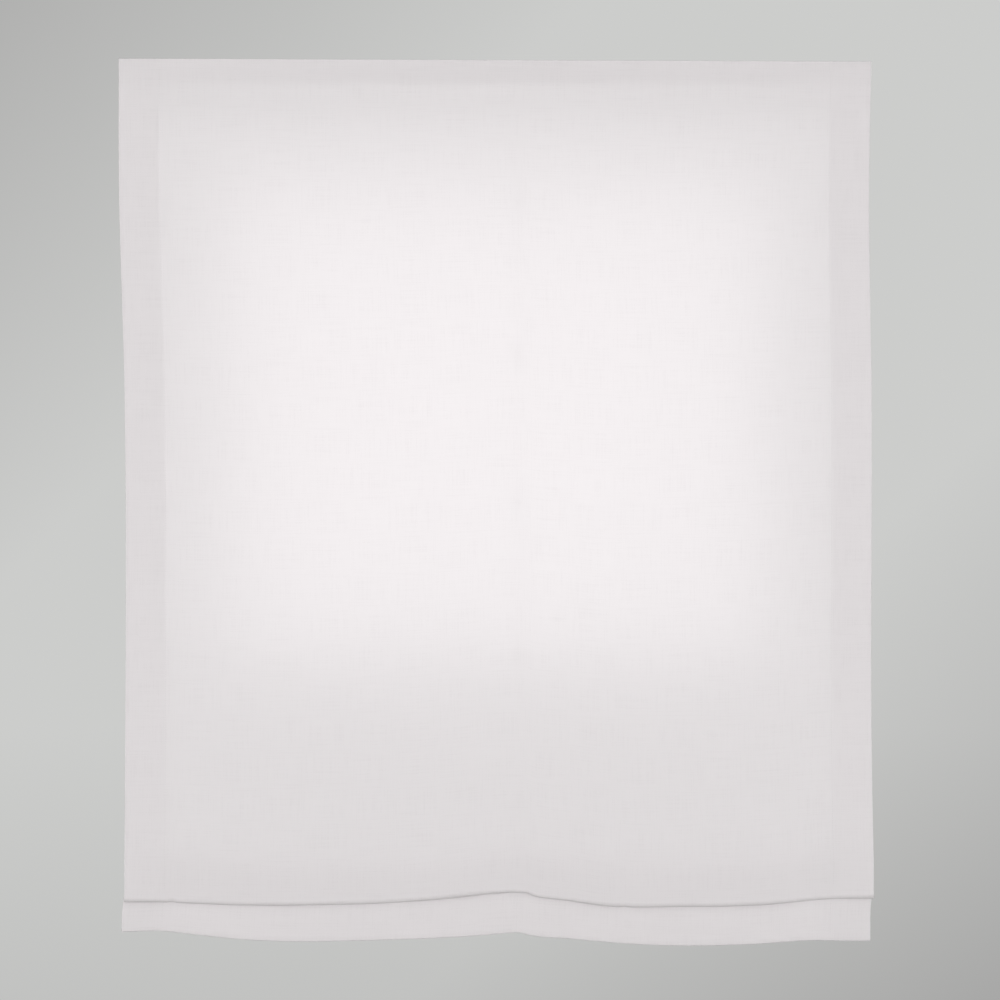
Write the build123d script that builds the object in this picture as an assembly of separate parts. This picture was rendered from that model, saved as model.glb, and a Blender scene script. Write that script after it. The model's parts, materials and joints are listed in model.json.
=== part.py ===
from build123d import *
import os

# A soft roman blind: one cloth panel hung by hook-and-loop tape on an open-top headrail. Three cords
# run from spools on a turning shaft, down through rings on the back of the cloth, to its lowest rings.
# Millimetres. X runs across the blind, -Y faces the room, Z is up. The wall is the plane Y = 0, and the
# origin is the centre of the four wall screw holes.

# Shared clearances
SEAT_GAP = 0.3
RUN_GAP = 0.06
FIT_GAP = 0.1
CUT_OVER = 2.0

# Cloth panel and its hems
CLOTH_WIDTH = 1000.0
CLOTH_THICK = 1.0
HEADING_OVER_RAIL = 5.0
HEADING_TURN = 34.0
SIDE_HEM = 52.0
BOTTOM_HEM = 100.0
FOLD_BEND = 3.5
TURN_BEND = 2.5

# Where the cords lift the cloth. The drop is the hem's at the left cord, below the cloth's top edge.
# Elsewhere the hem hangs lower than that, and the fold and the turn behind it stand above it.
CORD_INSET = 65.0
MIDDLE_CORD_X = 28.0
DROP = 1163.0
HEM_LOWER_LEFT_EDGE = 0.5
HEM_LOWER_MIDDLE_CORD = 0.5
HEM_LOWER_RIGHT_CORD = 12.5
HEM_LOWER_RIGHT_EDGE = 14.0
FOLD_RISE_LEFT_EDGE = 41.0
FOLD_RISE_LEFT_CORD = 43.0
FOLD_RISE_MIDDLE_CORD = 54.0
FOLD_RISE_RIGHT_CORD = 48.0
FOLD_RISE_RIGHT_EDGE = 48.5
TURN_RISE = 113.0

# How far the cloth sags between two cords, and how the sag is shared out across a bay
FOLD_SAG_LEFT = 10.5
FOLD_SAG_RIGHT = 16.5
HEM_SAG_LEFT = 13.0
HEM_SAG_RIGHT = 12.3
TURN_SAG = 12.0
FOLD_SAG_POWER = 2.5
HEM_SAG_POWER = 2.2
TURN_SAG_POWER = 2.0
FOLD_SKEW_POWER = 0.88
HEM_SKEW_LEFT_POWER = 0.76
HEM_SKEW_RIGHT_POWER = 0.72
EVEN_POWER = 1.0
BAY_SHARES = (0.0, 0.08, 0.2, 0.35, 0.5, 0.65, 0.8, 0.92, 1.0)

# Headrail
WALL_GAP = 4.0
RAIL_DEPTH = 40.0
RAIL_HEIGHT = 30.0
RAIL_WALL = 1.2
RAIL_LIP = 6.0
RAIL_CORNER = 1.0
RAIL_END_SETBACK = 6.0
TAPE_WIDTH = 20.0
HOOK_TAPE_THICK = 1.6
LOOP_TAPE_THICK = 1.2
TAPE_RIB_HEIGHT = 0.8
TAPE_RIB_WIDTH = 1.0

# Lift cords and their rings
CORD_RADIUS = 0.7
RING_OUTER_RADIUS = 7.0
RING_WIRE_RADIUS = 1.1
RING_SPACING = 200.0
RING_TO_HEM = 113.0
RING_ROWS = 6

# Cord adjusters on the lowest rings
ADJUSTER_RADIUS = 4.0
ADJUSTER_LENGTH = 12.0
ADJUSTER_EDGE = 1.2
ADJUSTER_BORE_DEPTH = 9.0
ADJUSTER_TAB_WIDTH = 6.0
ADJUSTER_TAB_THICK = 2.0
ADJUSTER_TAB_BELOW = 2.8
ADJUSTER_TAB_ABOVE = 2.6
ADJUSTER_EYE_RADIUS = 1.6

# Lift shaft and spools
SHAFT_SIDE = 6.0
SHAFT_EDGE = 0.5
DRUM_RADIUS = 10.0
DRUM_LENGTH = 24.0
FLANGE_RADIUS = 12.0
FLANGE_THICK = 1.2
JOURNAL_RADIUS = 5.5
JOURNAL_LENGTH = 4.0
CORD_PITCH = 1.5
ANCHOR_TURNS = 3
CORD_NOTCH_WIDTH = 2.0
CORD_NOTCH_DEPTH = 2.4

# Spool cradles
CRADLE_FLOOR = 1.2
CRADLE_WALL = 2.5
CRADLE_SIDE_WALL = 1.2
CRADLE_SIDE_HEIGHT = 9.0
CRADLE_WALL_TOP = 8.5
CRADLE_SNAP_WIDTH = 9.6
OUTLET_RADIUS = 3.5
OUTLET_BORE = 1.7
OUTLET_BELOW_RAIL = 2.0

# Idle end
CAP_THICK = 3.0
CAP_CORNER = 2.0
PLUG_LENGTH = 12.0
PLUG_WALL = 1.6
BOSS_WALL = 2.4
BUSH_FLANGE_RADIUS = 7.2
BUSH_FLANGE_THICK = 1.5

# Drive end: a wheel for a ball chain on a fixed stud, with a wrap spring that holds the load
DRIVE_PLATE = 3.0
DRIVE_CAVITY = 9.0
DRIVE_OUTER_WALL = 2.5
WHEEL_WIDTH = 7.6
WHEEL_RIM_RADIUS = 11.2
WHEEL_CAVITY_GAP = 1.5
WHEEL_GROOVE_RADIUS = 8.6
WHEEL_GROOVE_WIDTH = 3.4
BALL_RADIUS = 2.25
BALL_PITCH_RADIUS = 9.55
BALL_POCKETS = 10
STUD_RADIUS = 4.0
STUD_END_GAP = 1.0
WHEEL_BEARING_LENGTH = 2.5
SPRING_CHAMBER_RADIUS = 6.4
SPRING_INNER_RADIUS = 4.3
SPRING_OUTER_RADIUS = 5.4
SPRING_LENGTH = 3.3
SPRING_GROOVES = 3
SPRING_GROOVE_WIDTH = 0.2
SPRING_GROOVE_DEPTH = 0.3
HUB_JOURNAL_RADIUS = 6.5
HUB_SPIGOT_LENGTH = 1.2
HUB_SOCKET_DEPTH = 13.0
HUB_LUG_LENGTH = 8.6
HUB_LUG_WIDTH = 2.4
SCREW_RADIUS = 1.25
SCREW_HEAD_RADIUS = 2.4
SCREW_HEAD_THICK = 1.2
SCREW_SLOT_WIDTH = 0.6
SCREW_SLOT_DEPTH = 0.6
SCREW_FROM_BACK = 5.0
SCREW_HEIGHT = 9.0

# Wall brackets and their twist locks
BRACKET_X = 250.0
BRACKET_WIDTH = 30.0
BRACKET_THICK = 1.5
BRACKET_BEND = 1.2
BRACKET_REACH = 42.0
BRACKET_DROP = 17.0
BRACKET_CORNER = 4.0
SCREW_HOLE_RADIUS = 2.5
WALL_HOLE_SPACING = 16.0
CEILING_HOLE_SPACING = 28.0
LOCK_GAP = 0.4
LOCK_PLATE = 1.5
LOCK_HALF_LENGTH = 16.4
LOCK_HALF_WIDTH = 7.0
LOCK_NECK_RADIUS = 8.0
LEVER_THICK = 1.6
LEVER_LENGTH = 19.5
LEVER_WIDTH = 7.0
RIVET_RADIUS = 2.0
RIVET_HEAD_RADIUS = 4.0
RIVET_HEAD_THICK = 1.2
RIVET_SUNK_RADIUS = 3.6

# Planes and axes that several pieces share
rail_back = -WALL_GAP
rail_front = rail_back - RAIL_DEPTH
rail_mid_y = (rail_back + rail_front) / 2
rail_top = RAIL_HEIGHT / 2
rail_bottom = -rail_top
rail_floor = rail_bottom + RAIL_WALL
inner_depth = RAIL_DEPTH - 2 * RAIL_WALL
unit_end = CLOTH_WIDTH / 2 - RAIL_END_SETBACK
drive_width = DRIVE_PLATE + DRIVE_CAVITY + DRIVE_OUTER_WALL
rail_left = -unit_end + CAP_THICK
rail_right = unit_end - drive_width

cloth_top = rail_top + HEADING_OVER_RAIL
cloth_back = rail_front - HOOK_TAPE_THICK - LOOP_TAPE_THICK - CLOTH_THICK
half_cloth = CLOTH_THICK / 2
front_layer = cloth_back - half_cloth
middle_layer = front_layer + 2 * FOLD_BEND
turn_y = middle_layer + TURN_BEND
lower_layer = middle_layer + 2 * TURN_BEND
turn_drop = DROP - TURN_RISE
fold_drop = DROP - FOLD_RISE_LEFT_CORD
cloth_length = fold_drop + (fold_drop - turn_drop) + TURN_RISE

cord_y = turn_y
cord_left = -CLOTH_WIDTH / 2 + CORD_INSET
cord_right = CLOTH_WIDTH / 2 - CORD_INSET
cord_columns = {"left": cord_left, "middle": MIDDLE_CORD_X, "right": cord_right}
shaft_y = cord_y + DRUM_RADIUS + CORD_RADIUS + SEAT_GAP
socket_side = SHAFT_SIDE + 2 * FIT_GAP

ring_mid_radius = RING_OUTER_RADIUS - RING_WIRE_RADIUS
low_ring_z = cloth_top - turn_drop + SEAT_GAP + RING_OUTER_RADIUS
eye_z = low_ring_z + ring_mid_radius
adjuster_foot = eye_z + ADJUSTER_TAB_ABOVE
adjuster_head = adjuster_foot + ADJUSTER_LENGTH

wheel_left = rail_right + DRIVE_PLATE + (DRIVE_CAVITY - WHEEL_WIDTH) / 2
wheel_right = wheel_left + WHEEL_WIDTH
cavity_radius = WHEEL_RIM_RADIUS + WHEEL_CAVITY_GAP
cover_wall_x = unit_end - DRIVE_OUTER_WALL

lever_foot = rail_top + LOCK_GAP
lever_head = lever_foot + LEVER_THICK
plate_foot = lever_head + LOCK_GAP
plate_head = plate_foot + BRACKET_THICK
lock_head = rail_top - RAIL_WALL - LOCK_GAP
lock_foot = lock_head - LOCK_PLATE
hub_low = rail_right - PLUG_LENGTH


def block(x_low, x_high, y_low, y_high, z_low, z_high):
    """A box between two corners."""
    middle = ((x_low + x_high) / 2, (y_low + y_high) / 2, (z_low + z_high) / 2)
    return Pos(*middle) * Box(x_high - x_low, y_high - y_low, z_high - z_low)


def rod_x(radius, x_low, x_high, y, z):
    """A round rod along X."""
    middle = (x_low + x_high) / 2
    return Pos(middle, y, z) * Rot(0, 90, 0) * Cylinder(radius, x_high - x_low)


def rod_z(radius, x, y, z_low, z_high):
    """A round rod along Z."""
    return Pos(x, y, (z_low + z_high) / 2) * Cylinder(radius, z_high - z_low)


def turned_x(outline, y, z):
    """A solid of revolution about an X axis, from (x, radius) points."""
    face = make_face(Polyline(*outline, close=True))
    return Pos(0, y, z) * revolve(face, Axis.X)


def along_x(section, x_low, x_high):
    """A section drawn in Y and Z, extruded along X."""
    return extrude(Plane.YZ.offset(x_low) * section, x_high - x_low)


def sag(share, depth, power, skew):
    """How far the cloth hangs below the line between two cords, at a share of the way across."""
    return depth * (1 - abs(2 * share ** skew - 1) ** power)


def cloth_section(x, drops, front_layers):
    """The cloth's outline in Y and Z at one x: down the front, back up behind, and down to the hem."""
    fold, turn, hem = drops
    fold_z = cloth_top - fold + FOLD_BEND + half_cloth
    turn_z = cloth_top - turn - TURN_BEND - half_cloth
    hem_z = cloth_top - hem
    heading_z = cloth_top - HEADING_TURN
    fold_y = front_layer + FOLD_BEND
    face = front_layer - half_cloth
    back = face + front_layers * CLOTH_THICK
    heading_back = face + 2 * CLOTH_THICK + (front_layers - 1) * CLOTH_THICK
    inner_bend = fold_y - back
    points = [
        Vector(x, face, cloth_top),
        Vector(x, face, fold_z),
        Vector(x, middle_layer + half_cloth, fold_z),
        Vector(x, middle_layer + half_cloth, turn_z),
        Vector(x, lower_layer - half_cloth, turn_z),
        Vector(x, lower_layer - half_cloth, hem_z),
        Vector(x, lower_layer + half_cloth + CLOTH_THICK, hem_z),
        Vector(x, lower_layer + half_cloth + CLOTH_THICK, hem_z + BOTTOM_HEM),
        Vector(x, lower_layer + half_cloth, hem_z + BOTTOM_HEM),
        Vector(x, lower_layer + half_cloth, turn_z),
        Vector(x, middle_layer - half_cloth, turn_z),
        Vector(x, middle_layer - half_cloth, fold_z),
        Vector(x, back, fold_z),
        Vector(x, back, heading_z),
        Vector(x, heading_back, heading_z),
        Vector(x, heading_back, cloth_top),
    ]
    arc_tops = {
        1: Vector(x, fold_y, fold_z - FOLD_BEND - half_cloth),
        3: Vector(x, turn_y, turn_z + TURN_BEND - half_cloth),
        9: Vector(x, turn_y, turn_z + TURN_BEND + half_cloth),
        11: Vector(x, (middle_layer - half_cloth + back) / 2, fold_z - inner_bend),
    }
    edges = []
    for number, start in enumerate(points):
        end = points[(number + 1) % len(points)]
        if number in arc_tops:
            edges.append(Edge.make_three_point_arc(start, arc_tops[number], end))
        else:
            edges.append(Edge.make_line(start, end))
    return Wire(edges)


def cloth_bay(x_low, x_high, drops_low, drops_high, sags, front_layers, shares):
    """One stretch of the panel between two places where the cloth's drops are known."""
    sections = []
    for share in shares:
        drops = [
            low + (high - low) * share + sag(share, *shape)
            for low, high, shape in zip(drops_low, drops_high, sags)
        ]
        sections.append(cloth_section(x_low + (x_high - x_low) * share, drops, front_layers))
    return Solid.make_loft(sections)


def cloth_panel():
    """The whole panel: two doubled side hems, and two bays that sag between the three cords."""
    edge = CLOTH_WIDTH / 2
    hem_line = edge - SIDE_HEM
    ends = (0.0, 1.0)
    taut = 3 * [(0.0, EVEN_POWER, EVEN_POWER)]
    left_edge = (DROP - FOLD_RISE_LEFT_EDGE, turn_drop, DROP + HEM_LOWER_LEFT_EDGE)
    left_cord = (fold_drop, turn_drop, DROP)
    middle_cord = (DROP - FOLD_RISE_MIDDLE_CORD, turn_drop, DROP + HEM_LOWER_MIDDLE_CORD)
    right_cord = (DROP - FOLD_RISE_RIGHT_CORD, turn_drop, DROP + HEM_LOWER_RIGHT_CORD)
    right_edge = (DROP - FOLD_RISE_RIGHT_EDGE, turn_drop, DROP + HEM_LOWER_RIGHT_EDGE)
    turn_sag = (TURN_SAG, TURN_SAG_POWER, EVEN_POWER)
    left_sags = [
        (FOLD_SAG_LEFT, FOLD_SAG_POWER, FOLD_SKEW_POWER),
        turn_sag,
        (HEM_SAG_LEFT, HEM_SAG_POWER, HEM_SKEW_LEFT_POWER),
    ]
    right_sags = [
        (FOLD_SAG_RIGHT, FOLD_SAG_POWER, FOLD_SKEW_POWER),
        turn_sag,
        (HEM_SAG_RIGHT, HEM_SAG_POWER, HEM_SKEW_RIGHT_POWER),
    ]
    bays = [
        cloth_bay(-edge, -hem_line, left_edge, left_cord, taut, 2, ends),
        cloth_bay(-hem_line, cord_left, left_cord, left_cord, taut, 1, ends),
        cloth_bay(cord_left, MIDDLE_CORD_X, left_cord, middle_cord, left_sags, 1, BAY_SHARES),
        cloth_bay(MIDDLE_CORD_X, cord_right, middle_cord, right_cord, right_sags, 1, BAY_SHARES),
        cloth_bay(cord_right, hem_line, right_cord, right_cord, taut, 1, ends),
        cloth_bay(hem_line, edge, right_cord, right_edge, taut, 2, ends),
    ]
    return bays[0].fuse(*bays[1:])


def headrail():
    """The extruded channel, open at the top, with two ribs that seat the tape and a hole for each cord."""
    mouth = inner_depth - 2 * RAIL_LIP
    section = RectangleRounded(RAIL_DEPTH, RAIL_HEIGHT, RAIL_CORNER)
    section -= Rectangle(inner_depth, RAIL_HEIGHT - 2 * RAIL_WALL)
    section -= Pos(0, rail_top) * Rectangle(mouth, 2 * RAIL_WALL + CUT_OVER)
    rib_z = TAPE_WIDTH / 2 + FIT_GAP + TAPE_RIB_WIDTH / 2
    rib_depth = TAPE_RIB_HEIGHT + RAIL_WALL / 2
    for side in (-1, 1):
        rib = Rectangle(rib_depth, TAPE_RIB_WIDTH)
        section += Pos(-RAIL_DEPTH / 2 - TAPE_RIB_HEIGHT + rib_depth / 2, side * rib_z) * rib
    rail = along_x(Pos(rail_mid_y, 0) * section, rail_left, rail_right)
    for x in cord_columns.values():
        rail -= rod_z(OUTLET_RADIUS + FIT_GAP, x, cord_y, rail_bottom - CUT_OVER, rail_floor + CUT_OVER)
    return rail


def hook_tape():
    """The half of the tape that is stuck to the rail."""
    half = TAPE_WIDTH / 2
    return block(rail_left, rail_right, rail_front - HOOK_TAPE_THICK, rail_front, -half, half)


def loop_tape():
    """The half of the tape that is sewn to the cloth's heading."""
    half = TAPE_WIDTH / 2
    reach = CLOTH_WIDTH / 2 - SIDE_HEM
    face = rail_front - HOOK_TAPE_THICK
    return block(-reach, reach, face - LOOP_TAPE_THICK, face, -half, half)


def spool_start(cord_x):
    """The face of a spool's left flange, from which its cord is wound."""
    return cord_x - CORD_PITCH * ANCHOR_TURNS - CORD_PITCH / 2


def spool(cord_x):
    """A flanged drum with a journal at each end and a square bore."""
    drum_low = spool_start(cord_x)
    drum_high = drum_low + DRUM_LENGTH
    flange_low = drum_low - FLANGE_THICK
    flange_high = drum_high + FLANGE_THICK
    end_low = flange_low - JOURNAL_LENGTH
    end_high = flange_high + JOURNAL_LENGTH
    outline = [
        (end_low, 0),
        (end_low, JOURNAL_RADIUS),
        (flange_low, JOURNAL_RADIUS),
        (flange_low, FLANGE_RADIUS),
        (drum_low, FLANGE_RADIUS),
        (drum_low, DRUM_RADIUS),
        (drum_high, DRUM_RADIUS),
        (drum_high, FLANGE_RADIUS),
        (flange_high, FLANGE_RADIUS),
        (flange_high, JOURNAL_RADIUS),
        (end_high, JOURNAL_RADIUS),
        (end_high, 0),
    ]
    half_bore = socket_side / 2
    drum = turned_x(outline, shaft_y, 0)
    drum -= block(end_low, end_high, shaft_y - half_bore, shaft_y + half_bore, -half_bore, half_bore)
    half_notch = CORD_NOTCH_WIDTH / 2
    notch_y = (shaft_y + FLANGE_RADIUS - CORD_NOTCH_DEPTH, shaft_y + FLANGE_RADIUS + CUT_OVER)
    return drum - block(flange_low, drum_low, *notch_y, -half_notch, half_notch)


def wound_cord(cord_x):
    """The anchor turns that stay on a drum when the cord is let down, each as a plain ridge."""
    start = spool_start(cord_x)
    crest = DRUM_RADIUS + 2 * CORD_RADIUS
    root = DRUM_RADIUS + CORD_RADIUS
    half_crest = CORD_RADIUS / 2
    outline = [(start + CORD_PITCH / 2 - CORD_RADIUS, DRUM_RADIUS)]
    for turn in range(ANCHOR_TURNS):
        middle = start + turn * CORD_PITCH + CORD_PITCH / 2
        outline.append((middle - CORD_RADIUS, root))
        outline.append((middle - half_crest, crest))
        outline.append((middle + half_crest, crest))
        outline.append((middle + CORD_RADIUS, root))
    outline.append((middle + CORD_RADIUS, DRUM_RADIUS))
    return turned_x(outline, shaft_y, 0)


def cradle(cord_x):
    """The tub that carries a spool in the rail, with a collar that leads the cord out below."""
    inner_low = spool_start(cord_x) - FLANGE_THICK - SEAT_GAP
    inner_high = inner_low + DRUM_LENGTH + 2 * FLANGE_THICK + 2 * SEAT_GAP
    x_low = inner_low - CRADLE_WALL
    x_high = inner_high + CRADLE_WALL
    y_low = rail_mid_y - inner_depth / 2 + FIT_GAP
    y_high = rail_mid_y + inner_depth / 2 - FIT_GAP
    floor_top = rail_floor + CRADLE_FLOOR
    side_top = rail_floor + CRADLE_SIDE_HEIGHT
    tub = block(x_low, x_high, y_low, y_high, rail_floor, floor_top)
    tub += block(x_low, x_high, y_low, y_low + CRADLE_SIDE_WALL, rail_floor, side_top)
    tub += block(x_low, x_high, y_high - CRADLE_SIDE_WALL, y_high, rail_floor, side_top)
    for wall_low in (x_low, inner_high):
        tub += block(wall_low, wall_low + CRADLE_WALL, y_low, y_high, rail_floor, CRADLE_WALL_TOP)
    tub -= rod_x(JOURNAL_RADIUS + RUN_GAP, x_low, x_high, shaft_y, 0)
    half_snap = CRADLE_SNAP_WIDTH / 2
    tub -= block(x_low, x_high, shaft_y - half_snap, shaft_y + half_snap, 0, CRADLE_WALL_TOP + CUT_OVER)
    outlet_foot = rail_bottom - OUTLET_BELOW_RAIL
    tub += rod_z(OUTLET_RADIUS, cord_x, cord_y, outlet_foot, floor_top)
    return tub - rod_z(OUTLET_BORE, cord_x, cord_y, outlet_foot - CUT_OVER, floor_top + CUT_OVER)


def lift_shaft():
    """The square bar that turns all three spools."""
    half = SHAFT_SIDE / 2
    x_low = rail_left + FIT_GAP
    x_high = hub_low + HUB_SOCKET_DEPTH - FIT_GAP
    bar = block(x_low, x_high, shaft_y - half, shaft_y + half, -half, half)
    return chamfer(bar.edges().filter_by(Axis.X), SHAFT_EDGE)


def end_plug(x_plate_low, x_plate_high, inward, bore_radius):
    """A plate over the rail's end, with a hollow plug and a bearing boss that go into the rail."""
    outline = Pos(rail_mid_y, 0) * RectangleRounded(RAIL_DEPTH, RAIL_HEIGHT, CAP_CORNER)
    plate = along_x(outline, x_plate_low, x_plate_high)
    face = x_plate_high if inward > 0 else x_plate_low
    x_low, x_high = sorted((face, face + inward * PLUG_LENGTH))
    wide = inner_depth - 2 * FIT_GAP
    high = RAIL_HEIGHT - 2 * RAIL_WALL - 2 * FIT_GAP
    plug = Rectangle(wide, high) - Rectangle(wide - 2 * PLUG_WALL, high - 2 * PLUG_WALL)
    plate += along_x(Pos(rail_mid_y, 0) * plug, x_low, x_high)
    plate += rod_x(bore_radius + BOSS_WALL, x_low, x_high, shaft_y, 0)
    return plate, x_low, x_high


def idle_end_cap():
    """The left end cap, closed outside, with a blind bearing for the shaft's bush."""
    bore = JOURNAL_RADIUS + RUN_GAP
    cap, x_low, x_high = end_plug(-unit_end, rail_left, 1, bore)
    return cap - rod_x(bore, x_low, x_high + CUT_OVER, shaft_y, 0)


def idle_bush():
    """The bush on the shaft's left end, which turns in the end cap."""
    x_low = rail_left + FIT_GAP
    flange_low = rail_left + PLUG_LENGTH + SEAT_GAP
    bush = rod_x(JOURNAL_RADIUS, x_low, flange_low + BUSH_FLANGE_THICK, shaft_y, 0)
    bush += rod_x(BUSH_FLANGE_RADIUS, flange_low, flange_low + BUSH_FLANGE_THICK, shaft_y, 0)
    half = socket_side / 2
    bush_end = flange_low + BUSH_FLANGE_THICK
    return bush - block(x_low, bush_end, shaft_y - half, shaft_y + half, -half, half)


def screw_places():
    """Where the two cover screws stand, as (y, z)."""
    y = rail_back - SCREW_FROM_BACK
    return [(y, -SCREW_HEIGHT), (y, SCREW_HEIGHT)]


def drive_housing():
    """The inner half of the drive unit, which plugs into the rail's right end and bears the hub."""
    bore = HUB_JOURNAL_RADIUS + RUN_GAP
    housing, x_low, _ = end_plug(rail_right, rail_right + DRIVE_PLATE, -1, bore)
    housing -= rod_x(bore, x_low - CUT_OVER, rail_right + DRIVE_PLATE + CUT_OVER, shaft_y, 0)
    for y, z in screw_places():
        housing -= rod_x(SCREW_RADIUS + RUN_GAP, rail_right, rail_right + DRIVE_PLATE + CUT_OVER, y, z)
    return housing


def drive_cover():
    """The outer half of the drive unit: a shell round the chain wheel, open below, with the fixed stud."""
    cavity_low = rail_right + DRIVE_PLATE
    outline = Pos(rail_mid_y, 0) * RectangleRounded(RAIL_DEPTH, RAIL_HEIGHT, CAP_CORNER)
    cover = along_x(outline, cavity_low, unit_end)
    cover -= rod_x(cavity_radius, cavity_low, cover_wall_x, shaft_y, 0)
    mouth_y = (shaft_y - cavity_radius, shaft_y + cavity_radius)
    cover -= block(cavity_low, cover_wall_x, *mouth_y, rail_bottom - CUT_OVER, 0)
    cover += rod_x(STUD_RADIUS, wheel_left + STUD_END_GAP + HUB_SPIGOT_LENGTH, cover_wall_x, shaft_y, 0)
    head_seat = unit_end - SCREW_HEAD_THICK
    for y, z in screw_places():
        cover -= rod_x(SCREW_RADIUS + FIT_GAP, cavity_low, unit_end, y, z)
        cover -= rod_x(SCREW_HEAD_RADIUS + FIT_GAP, head_seat, unit_end + CUT_OVER, y, z)
    return cover


def chain_wheel():
    """The wheel for a ball chain: a grooved rim with a pocket for each ball, and a chamber for the spring."""
    middle = (wheel_left + wheel_right) / 2
    half_groove = WHEEL_GROOVE_WIDTH / 2
    outline = [
        (wheel_left, 0),
        (wheel_left, WHEEL_RIM_RADIUS),
        (middle - half_groove, WHEEL_RIM_RADIUS),
        (middle - half_groove, WHEEL_GROOVE_RADIUS),
        (middle + half_groove, WHEEL_GROOVE_RADIUS),
        (middle + half_groove, WHEEL_RIM_RADIUS),
        (wheel_right, WHEEL_RIM_RADIUS),
        (wheel_right, 0),
    ]
    wheel = turned_x(outline, shaft_y, 0)
    chamber_end = wheel_right - WHEEL_BEARING_LENGTH
    wheel -= rod_x(SPRING_CHAMBER_RADIUS, wheel_left, chamber_end, shaft_y, 0)
    wheel -= rod_x(STUD_RADIUS + RUN_GAP, wheel_left, wheel_right, shaft_y, 0)
    half_lug = HUB_LUG_WIDTH / 2 + FIT_GAP
    slot_reach = HUB_LUG_LENGTH + FIT_GAP
    slot_end = wheel_left + HUB_SPIGOT_LENGTH
    wheel -= block(wheel_left, slot_end, shaft_y - slot_reach, shaft_y + slot_reach, -half_lug, half_lug)
    centre = Pos(middle, shaft_y, 0)
    for pocket in range(BALL_POCKETS):
        turn = Rot(360 * pocket / BALL_POCKETS, 0, 0)
        wheel -= centre * turn * Pos(0, 0, BALL_PITCH_RADIUS) * Sphere(BALL_RADIUS + FIT_GAP)
    return wheel


def drive_hub():
    """The hub that the wheel turns through two lugs, with a square socket for the shaft."""
    spigot_end = wheel_left + HUB_SPIGOT_LENGTH
    hub = rod_x(HUB_JOURNAL_RADIUS, hub_low, wheel_left, shaft_y, 0)
    hub += rod_x(SPRING_CHAMBER_RADIUS - FIT_GAP, wheel_left, spigot_end, shaft_y, 0)
    half_lug = HUB_LUG_WIDTH / 2
    reach = HUB_LUG_LENGTH
    hub += block(wheel_left, spigot_end, shaft_y - reach, shaft_y + reach, -half_lug, half_lug)
    half = socket_side / 2
    socket_end = hub_low + HUB_SOCKET_DEPTH
    return hub - block(hub_low, socket_end, shaft_y - half, shaft_y + half, -half, half)


def clutch_spring():
    """The close-wound wrap spring round the stud, whose turns show as grooves."""
    x_low = wheel_left + HUB_SPIGOT_LENGTH + SEAT_GAP
    spring = rod_x(SPRING_OUTER_RADIUS, x_low, x_low + SPRING_LENGTH, shaft_y, 0)
    spring -= rod_x(SPRING_INNER_RADIUS, x_low, x_low + SPRING_LENGTH, shaft_y, 0)
    pitch = SPRING_LENGTH / (SPRING_GROOVES + 1)
    for groove in range(SPRING_GROOVES):
        groove_low = x_low + (groove + 1) * pitch - SPRING_GROOVE_WIDTH / 2
        groove_high = groove_low + SPRING_GROOVE_WIDTH
        ring = rod_x(SPRING_OUTER_RADIUS + CUT_OVER, groove_low, groove_high, shaft_y, 0)
        ring -= rod_x(SPRING_OUTER_RADIUS - SPRING_GROOVE_DEPTH, groove_low, groove_high, shaft_y, 0)
        spring -= ring
    return spring


def cover_screws():
    """The two slotted screws that hold the drive unit's halves together."""
    screws = []
    head_low = unit_end - SCREW_HEAD_THICK
    for y, z in screw_places():
        screw = rod_x(SCREW_RADIUS, rail_right + FIT_GAP, head_low, y, z)
        screw += rod_x(SCREW_HEAD_RADIUS, head_low, unit_end, y, z)
        half_slot = SCREW_SLOT_WIDTH / 2
        slot_low = unit_end - SCREW_SLOT_DEPTH
        slot_y = (y - SCREW_HEAD_RADIUS, y + SCREW_HEAD_RADIUS)
        screw -= block(slot_low, unit_end + CUT_OVER, *slot_y, z - half_slot, z + half_slot)
        screws.append(screw)
    return Compound(children=screws)


def lift_cord(cord_x):
    """A cord from its drum straight down to its adjuster."""
    return rod_z(CORD_RADIUS, cord_x, cord_y, adjuster_head - ADJUSTER_BORE_DEPTH, 0)


def ring_row(row):
    """The three rings of one row. The lowest stand upright on the cloth's turn, and the rest lie flat."""
    ring = Torus(ring_mid_radius, RING_WIRE_RADIUS)
    rings = []
    for x in cord_columns.values():
        if row == 1:
            rings.append(Pos(x, cord_y, low_ring_z) * Rot(90, 0, 0) * ring)
        else:
            y = cloth_back + SEAT_GAP + RING_OUTER_RADIUS
            z = cloth_top - cloth_length + RING_TO_HEM + (row - 1) * RING_SPACING
            rings.append(Pos(x, y, z) * ring)
    return Compound(children=rings)


def cord_adjuster(cord_x):
    """The barrel that grips a cord's end, with a tab that hangs from the lowest ring."""
    barrel = rod_z(ADJUSTER_RADIUS, cord_x, cord_y, adjuster_foot, adjuster_head)
    barrel = chamfer(barrel.edges().filter_by(GeomType.CIRCLE), ADJUSTER_EDGE)
    half_thick = ADJUSTER_TAB_THICK / 2
    half_wide = ADJUSTER_TAB_WIDTH / 2
    tab_foot = eye_z - ADJUSTER_TAB_BELOW
    tab_head = adjuster_foot + ADJUSTER_EDGE
    tab_x = (cord_x - half_thick, cord_x + half_thick)
    barrel += block(*tab_x, cord_y - half_wide, cord_y + half_wide, tab_foot, tab_head)
    barrel -= rod_x(ADJUSTER_EYE_RADIUS, *tab_x, cord_y, eye_z)
    bore_foot = adjuster_head - ADJUSTER_BORE_DEPTH
    return barrel - rod_z(CORD_RADIUS + FIT_GAP, cord_x, cord_y, bore_foot, adjuster_head + CUT_OVER)


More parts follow.
